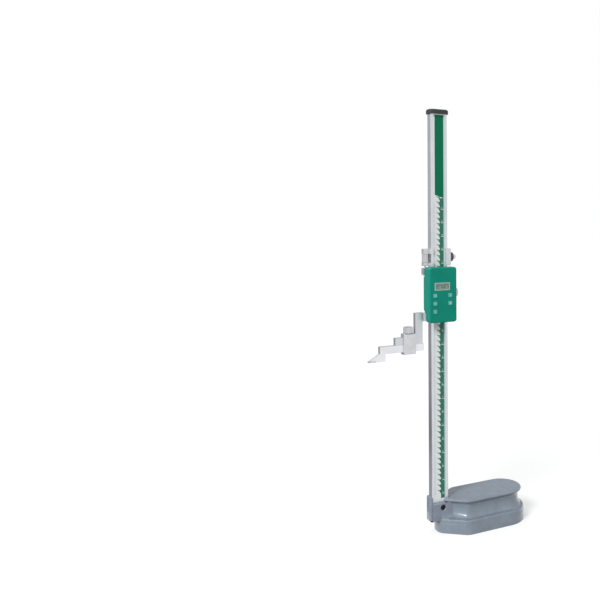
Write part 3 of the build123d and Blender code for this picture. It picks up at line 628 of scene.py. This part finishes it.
def casting_body_form(lower_cove, upper_cove):
    """Flange, waist and lip, as outlines one over the other."""
    flange = [
        (0.0, casting_plan(FLANGE, 0)),
        (BAND_TOP, casting_plan(FLANGE, 0)),
        (BAND_TOP, casting_plan(FLANGE, -BAND_STEP)),
        (FLANGE_TOP - FLANGE_EDGE, casting_plan(FLANGE, -BAND_STEP)),
        (FLANGE_TOP, casting_plan(FLANGE, -BAND_STEP - FLANGE_EDGE)),
    ]
    waist = [(z, casting_plan(WAIST, out)) for out, z in lower_cove + upper_cove]
    lip = [
        (LIP_FOOT + LIP_EDGE, casting_plan(WAIST, LIP_OUT)),
        (BASE_TOP - LIP_EDGE, casting_plan(WAIST, LIP_OUT)),
        (BASE_TOP, casting_plan(WAIST, LIP_OUT - LIP_EDGE)),
    ]
    return layered("casting", flange + waist + lip)


def boss_flare(lower_cove):
    """The foot of the boss, which flares out over the flange as the waist does."""
    side = [(BOSS_HALF + out, z) for out, z in lower_cove]
    foot_y = BOSS_HALF + COVE_OUT
    foot_z = FLANGE_TOP - OVERLAP
    section = [(foot_y, foot_z)] + side + [(-y, z) for y, z in reversed(side)] + [(-foot_y, foot_z)]
    upright = Matrix(((0, 0, -1, 0), (0, 1, 0, 0), (1, 0, 0, 0), (0, 0, 0, 1)))
    flare = turned(prism("flare", [(z, y) for y, z in section], -BOSS_RIGHT, -FLANGE.left), upright)
    trim = prism("trim", casting_plan(FLANGE, -BAND_STEP - FLANGE_EDGE), 0, BASE_TOP)
    return combined(flare, trim, "INTERSECT")


def nose_form():
    """The post behind the column's foot, with rounded corners on its left side."""
    right = BOSS_LEFT + OVERLAP
    back = (right, NOSE_HALF)
    front = (right, -NOSE_HALF)
    middle = (NOSE_LEFT, 0)
    outline = [front, back]
    outline += round_corner(back, (NOSE_LEFT, NOSE_HALF), middle, NOSE_CORNER)
    outline += round_corner(middle, (NOSE_LEFT, -NOSE_HALF), front, NOSE_CORNER)
    return prism("nose", outline, NOSE_FOOT, NOSE_TOP)


def screw_hole():
    """The set screw's chamfered hole, from the front of the boss into the socket."""
    hole = layered("screw_hole", [
        (BOSS_HALF + PAST_CHAMFER, disc_plan(0, 0, SET_SCREW_RADIUS + SET_SCREW_CHAMFER + PAST_CHAMFER)),
        (BOSS_HALF - SET_SCREW_CHAMFER, disc_plan(0, 0, SET_SCREW_RADIUS)),
        (SOCKET_HALF_Y - OVERLAP, disc_plan(0, 0, SET_SCREW_RADIUS)),
    ])
    place = Matrix.Translation((SET_SCREW_X * MM, 0, SET_SCREW_Z * MM))
    return turned(hole, place @ Matrix.Rotation(math.pi / 2, 4, "X"))


def hollow_underside():
    """The room under the base inside its ground rim, less the front land and the ribs."""
    hollow = prism("hollow", casting_plan(FLANGE, -RIM), -OVERLAP, RECESS_TOP)
    kept = [(-PAST_SIDES, RECESS_LEFT)] + [(x - RIB_HALF, x + RIB_HALF) for x in RIB_PLACES]
    for x0, x1 in kept:
        land = prism("land", box_plan(x0, x1, PAST_SIDES), -PAST_EDGE, RECESS_TOP + PAST_EDGE)
        hollow = combined(hollow, land, "DIFFERENCE")
    return hollow


def casting_mesh():
    """The whole casting: its body, boss and nose, less its holes and its hollow."""
    lower_cove, upper_cove = cove_profiles()
    body = casting_body_form(lower_cove, upper_cove)
    boss = prism("boss", box_plan(BOSS_LEFT, RECESS_LEFT + OVERLAP, BOSS_HALF), NOSE_FOOT, BOSS_TOP)
    boss_root = prism("boss_root", box_plan(RECESS_LEFT, BOSS_RIGHT, BOSS_HALF),
                      BAND_TOP, LIP_FOOT + LIP_EDGE / 2)
    for form in (boss_flare(lower_cove), boss, boss_root, nose_form()):
        body = combined(body, form, "UNION")
    socket = prism("socket", box_plan(-SOCKET_HALF_X, SOCKET_HALF_X, SOCKET_HALF_Y),
                   SOCKET_FLOOR, NOSE_TOP + PAST_EDGE)
    foot_hole = prism("foot_hole", disc_plan(FOOT_SCREW_X, 0, FOOT_SCREW_RADIUS),
                      NOSE_FOOT - OVERLAP, SOCKET_FLOOR + OVERLAP)
    for form in (socket, screw_hole(), foot_hole, hollow_underside()):
        body = combined(body, form, "DIFFERENCE")
    body.name = "casting_body"
    body.shade_smooth()
    body.set_sharp_from_angle(angle=SHARP_ANGLE)
    return body


casting = finish_piece(casting_mesh(), "casting_body", PAINT, "stand")
casting.modifiers.new("even_shading", "WEIGHTED_NORMAL").keep_sharp = True
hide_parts("base_casting")


# ---------------------------------------------------------------- scale on the column
label_low, label_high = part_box("scale_label")
label_y = label_low.y
print_top = label_high.z
print_foot = label_low.z
centimetre = 10 * MM
inch = 25.4 * MM
zero_z = 70.6 * MM
band_left = 1.2 * MM
band_right = 9.2 * MM
field_left = -9.0 * MM
field_foot_left = 631 * MM
field_foot_right = 625 * MM
tooth_left = -6.8 * MM
tooth_middle = -2.0 * MM
tooth_fall = 4.8 * MM                    # of a slanted tooth, from its tip to the band
tooth_foot = 7.4 * MM                    # height of a tooth where it meets the band
tooth_waist = 2.6 * MM                   # and half way to its tip
label_margin = 1 * MM                    # of the print, from the label's top
band_margin = 0.5 * MM                   # and from its foot
strip_margin = 0.3 * MM                  # and from its right edge
tick_left = -11.6 * MM
tick_half = 0.09 * MM
blank_ticks = 8                          # that a tooth's slant leaves no room for
inch_parts = 16
inch_half = 0.45 * MM                    # half the height of an inch's mark
inch_part_half = 0.12 * MM               # and of a sixteenth's
inch_gap = 0.1 * MM
scale_figure = 1.5 * MM                  # width of a figure beside the marks
scale_figure_gap = 0.6 * MM

centimetres = range(int((field_foot_right - zero_z) / centimetre) + 1)
inches = range(int((field_foot_right - zero_z) / inch) + 1)

printed("scale_field", [[
    (field_left, field_foot_left), (band_right, field_foot_right),
    (band_right, print_top - label_margin), (field_left, print_top - label_margin),
]], label_y, INK_TOP_GREEN, "stand")
printed("scale_margin", [bar(band_right, label_high.x - strip_margin,
                             print_foot + band_margin, print_top - label_margin)],
        label_y, INK_MINT, "stand")
printed("scale_band", [bar(band_left, band_right, print_foot + band_margin, field_foot_right)],
        label_y, INK_GREEN, "stand")
teeth = []
tooth_fall_middle = tooth_fall * (band_left - tooth_middle) / (band_left - tooth_left)
for i in centimetres:
    z = zero_z + i * centimetre + tooth_foot / 2
    teeth.append([
        (tooth_left, z + tooth_fall),
        (tooth_middle, z + tooth_fall_middle - tooth_waist / 2),
        (band_left, z - tooth_foot / 2),
        (band_left, z + tooth_foot / 2),
        (tooth_middle, z + tooth_fall_middle + tooth_waist / 2),
    ])
printed("scale_teeth", teeth, label_y, INK_GREEN, "stand")

ticks = []
for i in range(int((field_foot_right - zero_z) / MM) - blank_ticks):
    z = zero_z + i * MM
    length = (1.5 if i % 5 else 2.4 if i % 10 else 3.4) * MM
    ticks.append(bar(tick_left, tick_left + length, z - tick_half, z + tick_half))
printed("metric_ticks", ticks, label_y, INK_DARK, "stand")

ink_face_y = label_y - INK_THICKNESS
inch_ticks = []
for i in range(inch_parts * (len(inches) - 1) + 1):
    z = zero_z + i * inch / inch_parts
    length = (1.1 if i % 4 else 1.7 if i % inch_parts else 5.6) * MM
    half_thick = inch_part_half if i % inch_parts else inch_half
    inch_ticks.append(bar(band_right - length, band_right - inch_gap, z - half_thick, z + half_thick))
printed("inch_ticks", inch_ticks, ink_face_y, INK_PALE, "stand")

centimetre_figures = []
for i in centimetres:
    z = zero_z + i * centimetre + 3.0 * MM
    x = (-3.9 if i > 9 else -3.1) * MM
    centimetre_figures += figure_shapes(str(i), x, z, scale_figure, scale_figure_gap, lean=0.15)
printed("centimetre_figures", centimetre_figures, ink_face_y, INK_PALE, "stand")
inch_figures = []
for i in inches:
    z = zero_z + i * inch + 1.2 * MM
    x = (3.6 if i > 9 else 4.6) * MM
    inch_figures += figure_shapes(str(i), x, z, scale_figure, scale_figure_gap)
printed("inch_figures", inch_figures, ink_face_y, INK_PALE, "stand")

# ---------------------------------------------------------------- display
lcd_low, lcd_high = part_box("lcd_module")
lcd_face_y = lcd_low.y
lcd_centre_z = (lcd_low.z + lcd_high.z) / 2
figure_width = 3.1 * MM
figure_gap = 1.15 * MM
figure_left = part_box("lcd_bezel")[0].x + 3.0 * MM
printed("lcd_figures",
        figure_shapes("327.60", figure_left, lcd_centre_z - figure_width, figure_width,
                      figure_gap, lean=0.08),
        lcd_face_y, SEGMENT_INK, "slider")

# ---------------------------------------------------------------- signs on the keys
SIGN_STEPS = 20
SIGN_LINE = 0.35 * MM
SIGN_RADIUS = 1.7 * MM
ZERO_WIDTH = 1.6 * MM


def arc_band(x, z, inner, outer, start, end):
    """Pieces of a ring, between two angles in degrees."""
    shapes = []
    for i in range(SIGN_STEPS):
        a = math.radians(start + (end - start) * i / SIGN_STEPS)
        b = math.radians(start + (end - start) * (i + 1) / SIGN_STEPS)
        shapes.append([
            (x + r * math.cos(t), z + r * math.sin(t))
            for r, t in ((inner, a), (outer, a), (outer, b), (inner, b))
        ])
    return shapes


def key_sign(kind, x, z):
    """A plain sign: power, units, zero, preset or hold."""
    w = SIGN_LINE
    r = SIGN_RADIUS
    if kind == "button_power":
        stroke = bar(x - w / 2, x + w / 2, z + 0.2 * r, z + 1.25 * r)
        return arc_band(x, z, r - w, r, 120, 420) + [stroke]
    if kind == "button_units":
        return [
            bar(x - r, x + r, z + 0.35 * r, z + 0.35 * r + w),
            bar(x - r, x + r, z - 0.35 * r - w, z - 0.35 * r),
            [(x + r, z + 0.35 * r), (x + r, z + 0.35 * r + w), (x + 0.4 * r, z + r)],
            [(x - r, z - 0.35 * r - w), (x - r, z - 0.35 * r), (x - 0.4 * r, z - r)],
        ]
    if kind == "button_zero":
        return figure_shapes("0", x - ZERO_WIDTH / 2, z - ZERO_WIDTH, ZERO_WIDTH, 0)
    if kind == "button_preset":
        return [
            bar(x - r, x + r, z - w / 2, z + w / 2),
            bar(x - w / 2, x + w / 2, z - r, z - w / 2),
            bar(x - w / 2, x + w / 2, z + w / 2, z + r),
        ]
    return [
        bar(x - 0.7 * r, x - 0.25 * r, z - r, z + r),
        bar(x + 0.25 * r, x + 0.7 * r, z - r, z + r),
    ]


for key in ("button_power", "button_units", "button_zero", "button_preset", "button_hold"):
    low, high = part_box(key)
    signs = key_sign(key, (low.x + high.x) / 2, (low.z + high.z) / 2)
    printed(f"{key}_sign", signs, low.y, INK_PALE, key)


# ---------------------------------------------------------------- studio
def soft_sun(name, source, level, spread):
    """A distant soft light from a direction, at a level where 1 shows a colour as written."""
    lamp = bpy.data.lights.new(name, "SUN")
    lamp.energy = math.pi * level
    lamp.angle = math.radians(spread)
    holder = bpy.data.objects.new(name, lamp)
    bpy.context.scene.collection.objects.link(holder)
    holder.rotation_euler = Vector(source).to_track_quat("Z", "Y").to_euler()


def white_for_the_eye(tree, shown, felt):
    """Mix two shaders: one for what the eye, gloss and glass see, and one for light."""
    path = tree.nodes.new("ShaderNodeLightPath")
    either = tree.nodes.new("ShaderNodeMath")
    either.operation = "MAXIMUM"
    tree.links.new(path.outputs["Is Camera Ray"], either.inputs[0])
    tree.links.new(path.outputs["Is Glossy Ray"], either.inputs[1])
    third = tree.nodes.new("ShaderNodeMath")
    third.operation = "MAXIMUM"
    tree.links.new(either.outputs[0], third.inputs[0])
    tree.links.new(path.outputs["Is Transmission Ray"], third.inputs[1])
    mix = tree.nodes.new("ShaderNodeMixShader")
    tree.links.new(third.outputs[0], mix.inputs[0])
    tree.links.new(felt.outputs[0], mix.inputs[1])
    tree.links.new(shown.outputs[0], mix.inputs[2])
    return mix


WORLD_LIGHT = 0.45
FLOOR_GREY = 0.45
FLOOR_GLOW = 0.5                         # lifts the seen floor to white
FLOOR_SIZE = 30.0
world = bpy.data.worlds.new("studio")
bpy.context.scene.world = world
world.use_nodes = True
world_tree = world.node_tree
world_tree.nodes.clear()
shown_sky = world_tree.nodes.new("ShaderNodeBackground")
shown_sky.inputs["Color"].default_value = (1, 1, 1, 1)
shown_sky.inputs["Strength"].default_value = 1.0
felt_sky = world_tree.nodes.new("ShaderNodeBackground")
felt_sky.inputs["Color"].default_value = (0.96, 0.98, 1.0, 1)
felt_sky.inputs["Strength"].default_value = WORLD_LIGHT
sky_output = world_tree.nodes.new("ShaderNodeOutputWorld")
sky_mix = white_for_the_eye(world_tree, shown_sky, felt_sky)
world_tree.links.new(sky_mix.outputs[0], sky_output.inputs["Surface"])


def floor_material():
    """A pale floor that looks white and keeps a soft shadow."""
    made = bpy.data.materials.new("studio_floor")
    made.use_nodes = True
    tree = made.node_tree
    tree.nodes.clear()
    matt = tree.nodes.new("ShaderNodeBsdfDiffuse")
    matt.inputs["Color"].default_value = (FLOOR_GREY, FLOOR_GREY, FLOOR_GREY, 1)
    glow = tree.nodes.new("ShaderNodeEmission")
    glow.inputs["Color"].default_value = (1, 1, 1, 1)
    glow.inputs["Strength"].default_value = FLOOR_GLOW
    lifted = tree.nodes.new("ShaderNodeAddShader")
    tree.links.new(matt.outputs[0], lifted.inputs[0])
    tree.links.new(glow.outputs[0], lifted.inputs[1])
    output = tree.nodes.new("ShaderNodeOutputMaterial")
    mix = white_for_the_eye(tree, lifted, matt)
    tree.links.new(mix.outputs[0], output.inputs["Surface"])
    return made


floor_mesh = bpy.data.meshes.new("floor")
half = FLOOR_SIZE / 2
floor_mesh.from_pydata([(-half, -half, 0), (half, -half, 0), (half, half, 0), (-half, half, 0)],
                       [], [(0, 1, 2, 3)])
floor_mesh.materials.append(floor_material())
floor = bpy.data.objects.new("floor", floor_mesh)
bpy.context.scene.collection.objects.link(floor)

soft_sun("key", source=(-0.66, -0.38, 0.64), level=0.95, spread=22)
soft_sun("top", source=(-0.2, 0.3, 0.93), level=0.2, spread=45)


def grey_card(name, corners, colour):
    """A card that only gloss sees, to set how dark the faces of bright metal read."""
    mesh = bpy.data.meshes.new(name)
    mesh.from_pydata(corners, [], [(0, 1, 2, 3)])
    made = bpy.data.materials.new(name)
    made.use_nodes = True
    surface = made.node_tree.nodes["Principled BSDF"]
    surface.inputs["Base Color"].default_value = colour
    surface.inputs["Roughness"].default_value = CARD_ROUGHNESS
    mesh.materials.append(made)
    card = bpy.data.objects.new(name, mesh)
    bpy.context.scene.collection.objects.link(card)
    card.visible_camera = False
    card.visible_diffuse = False
    card.visible_shadow = False


# What the left faces of the bright metal reflect: the right and left end of each line
# on the floor, in metres.
CARD_FAR = ((-0.15, 1.6), (-2.4, 0.5))
CARD_MIDDLE = ((-0.10, 0.95), (-1.4, 0.10))
CARD_CLOSE = ((-0.06, 0.50), (-0.95, -0.05))
CARD_NEAR = ((-0.03, 0.10), (-0.6, -0.35))
CARD_BACK = ((0.0, 2.1), (2.2, 1.1))      # what the base's top reflects
CARD_BACK_FOOT = 0.1
CARD_BACK_TOP = 2.2
CARD_LIFT = 0.002                        # of the lying cards, off the floor
CARD_STEP = 0.32                         # where the low side card ends
CARD_TOP = 1.5
CARD_ROUGHNESS = 0.9
CARD_BLUE = 1.02                         # share by which a card leans to blue


def standing(ends, low, high):
    """Corners of an upright card over a line on the floor."""
    (x0, y0), (x1, y1) = ends
    return [(x0, y0, low), (x1, y1, low), (x1, y1, high), (x0, y0, high)]


def lying(near, far):
    """Corners of a card on the floor between two lines."""
    return [(x, y, CARD_LIFT) for x, y in (near[0], far[0], far[1], near[1])]


for card_name, corners, grey in (
    ("side_card_high", standing(CARD_FAR, CARD_STEP, CARD_TOP), 0.95),
    ("side_card_low", standing(CARD_FAR, 0.0, CARD_STEP), 0.55),
    ("floor_card_far", lying(CARD_MIDDLE, CARD_FAR), 0.16),
    ("floor_card_middle", lying(CARD_CLOSE, CARD_MIDDLE), 0.08),
    ("floor_card_near", lying(CARD_NEAR, CARD_CLOSE), 0.24),
    ("back_card", standing(CARD_BACK, CARD_BACK_FOOT, CARD_BACK_TOP), 0.42),
):
    grey_card(card_name, corners, (grey, grey, grey * CARD_BLUE, 1))

# ---------------------------------------------------------------- camera
forward = Vector((math.sin(VIEW_ANGLE), math.cos(VIEW_ANGLE), 0))
level_right = Vector((math.cos(VIEW_ANGLE), -math.sin(VIEW_ANGLE), 0))
level_up = Vector((0, 0, 1))
right = level_right * math.cos(VIEW_ROLL) - level_up * math.sin(VIEW_ROLL)
up = level_right * math.sin(VIEW_ROLL) + level_up * math.cos(VIEW_ROLL)
eye = -CAMERA_DISTANCE * forward + CAMERA_ASIDE * level_right + CAMERA_HEIGHT * level_up
lens = bpy.data.cameras.new("view")
lens.sensor_width = SENSOR_MM
lens.lens = FOCAL_PIXELS / FRAME_PIXELS * SENSOR_MM
lens.shift_x = (FRAME_PIXELS / 2 - CENTRE_PIXEL_X) / FRAME_PIXELS
lens.shift_y = (CENTRE_PIXEL_Y - FRAME_PIXELS / 2) / FRAME_PIXELS
lens.clip_start = CLIP_START
camera = bpy.data.objects.new("view", lens)
bpy.context.scene.collection.objects.link(camera)
camera.matrix_world = Matrix((
    (right.x, up.x, -forward.x, eye.x),
    (right.y, up.y, -forward.y, eye.y),
    (right.z, up.z, -forward.z, eye.z),
    (0, 0, 0, 1),
))
bpy.context.scene.camera = camera
bpy.context.scene.view_settings.view_transform = "Standard"
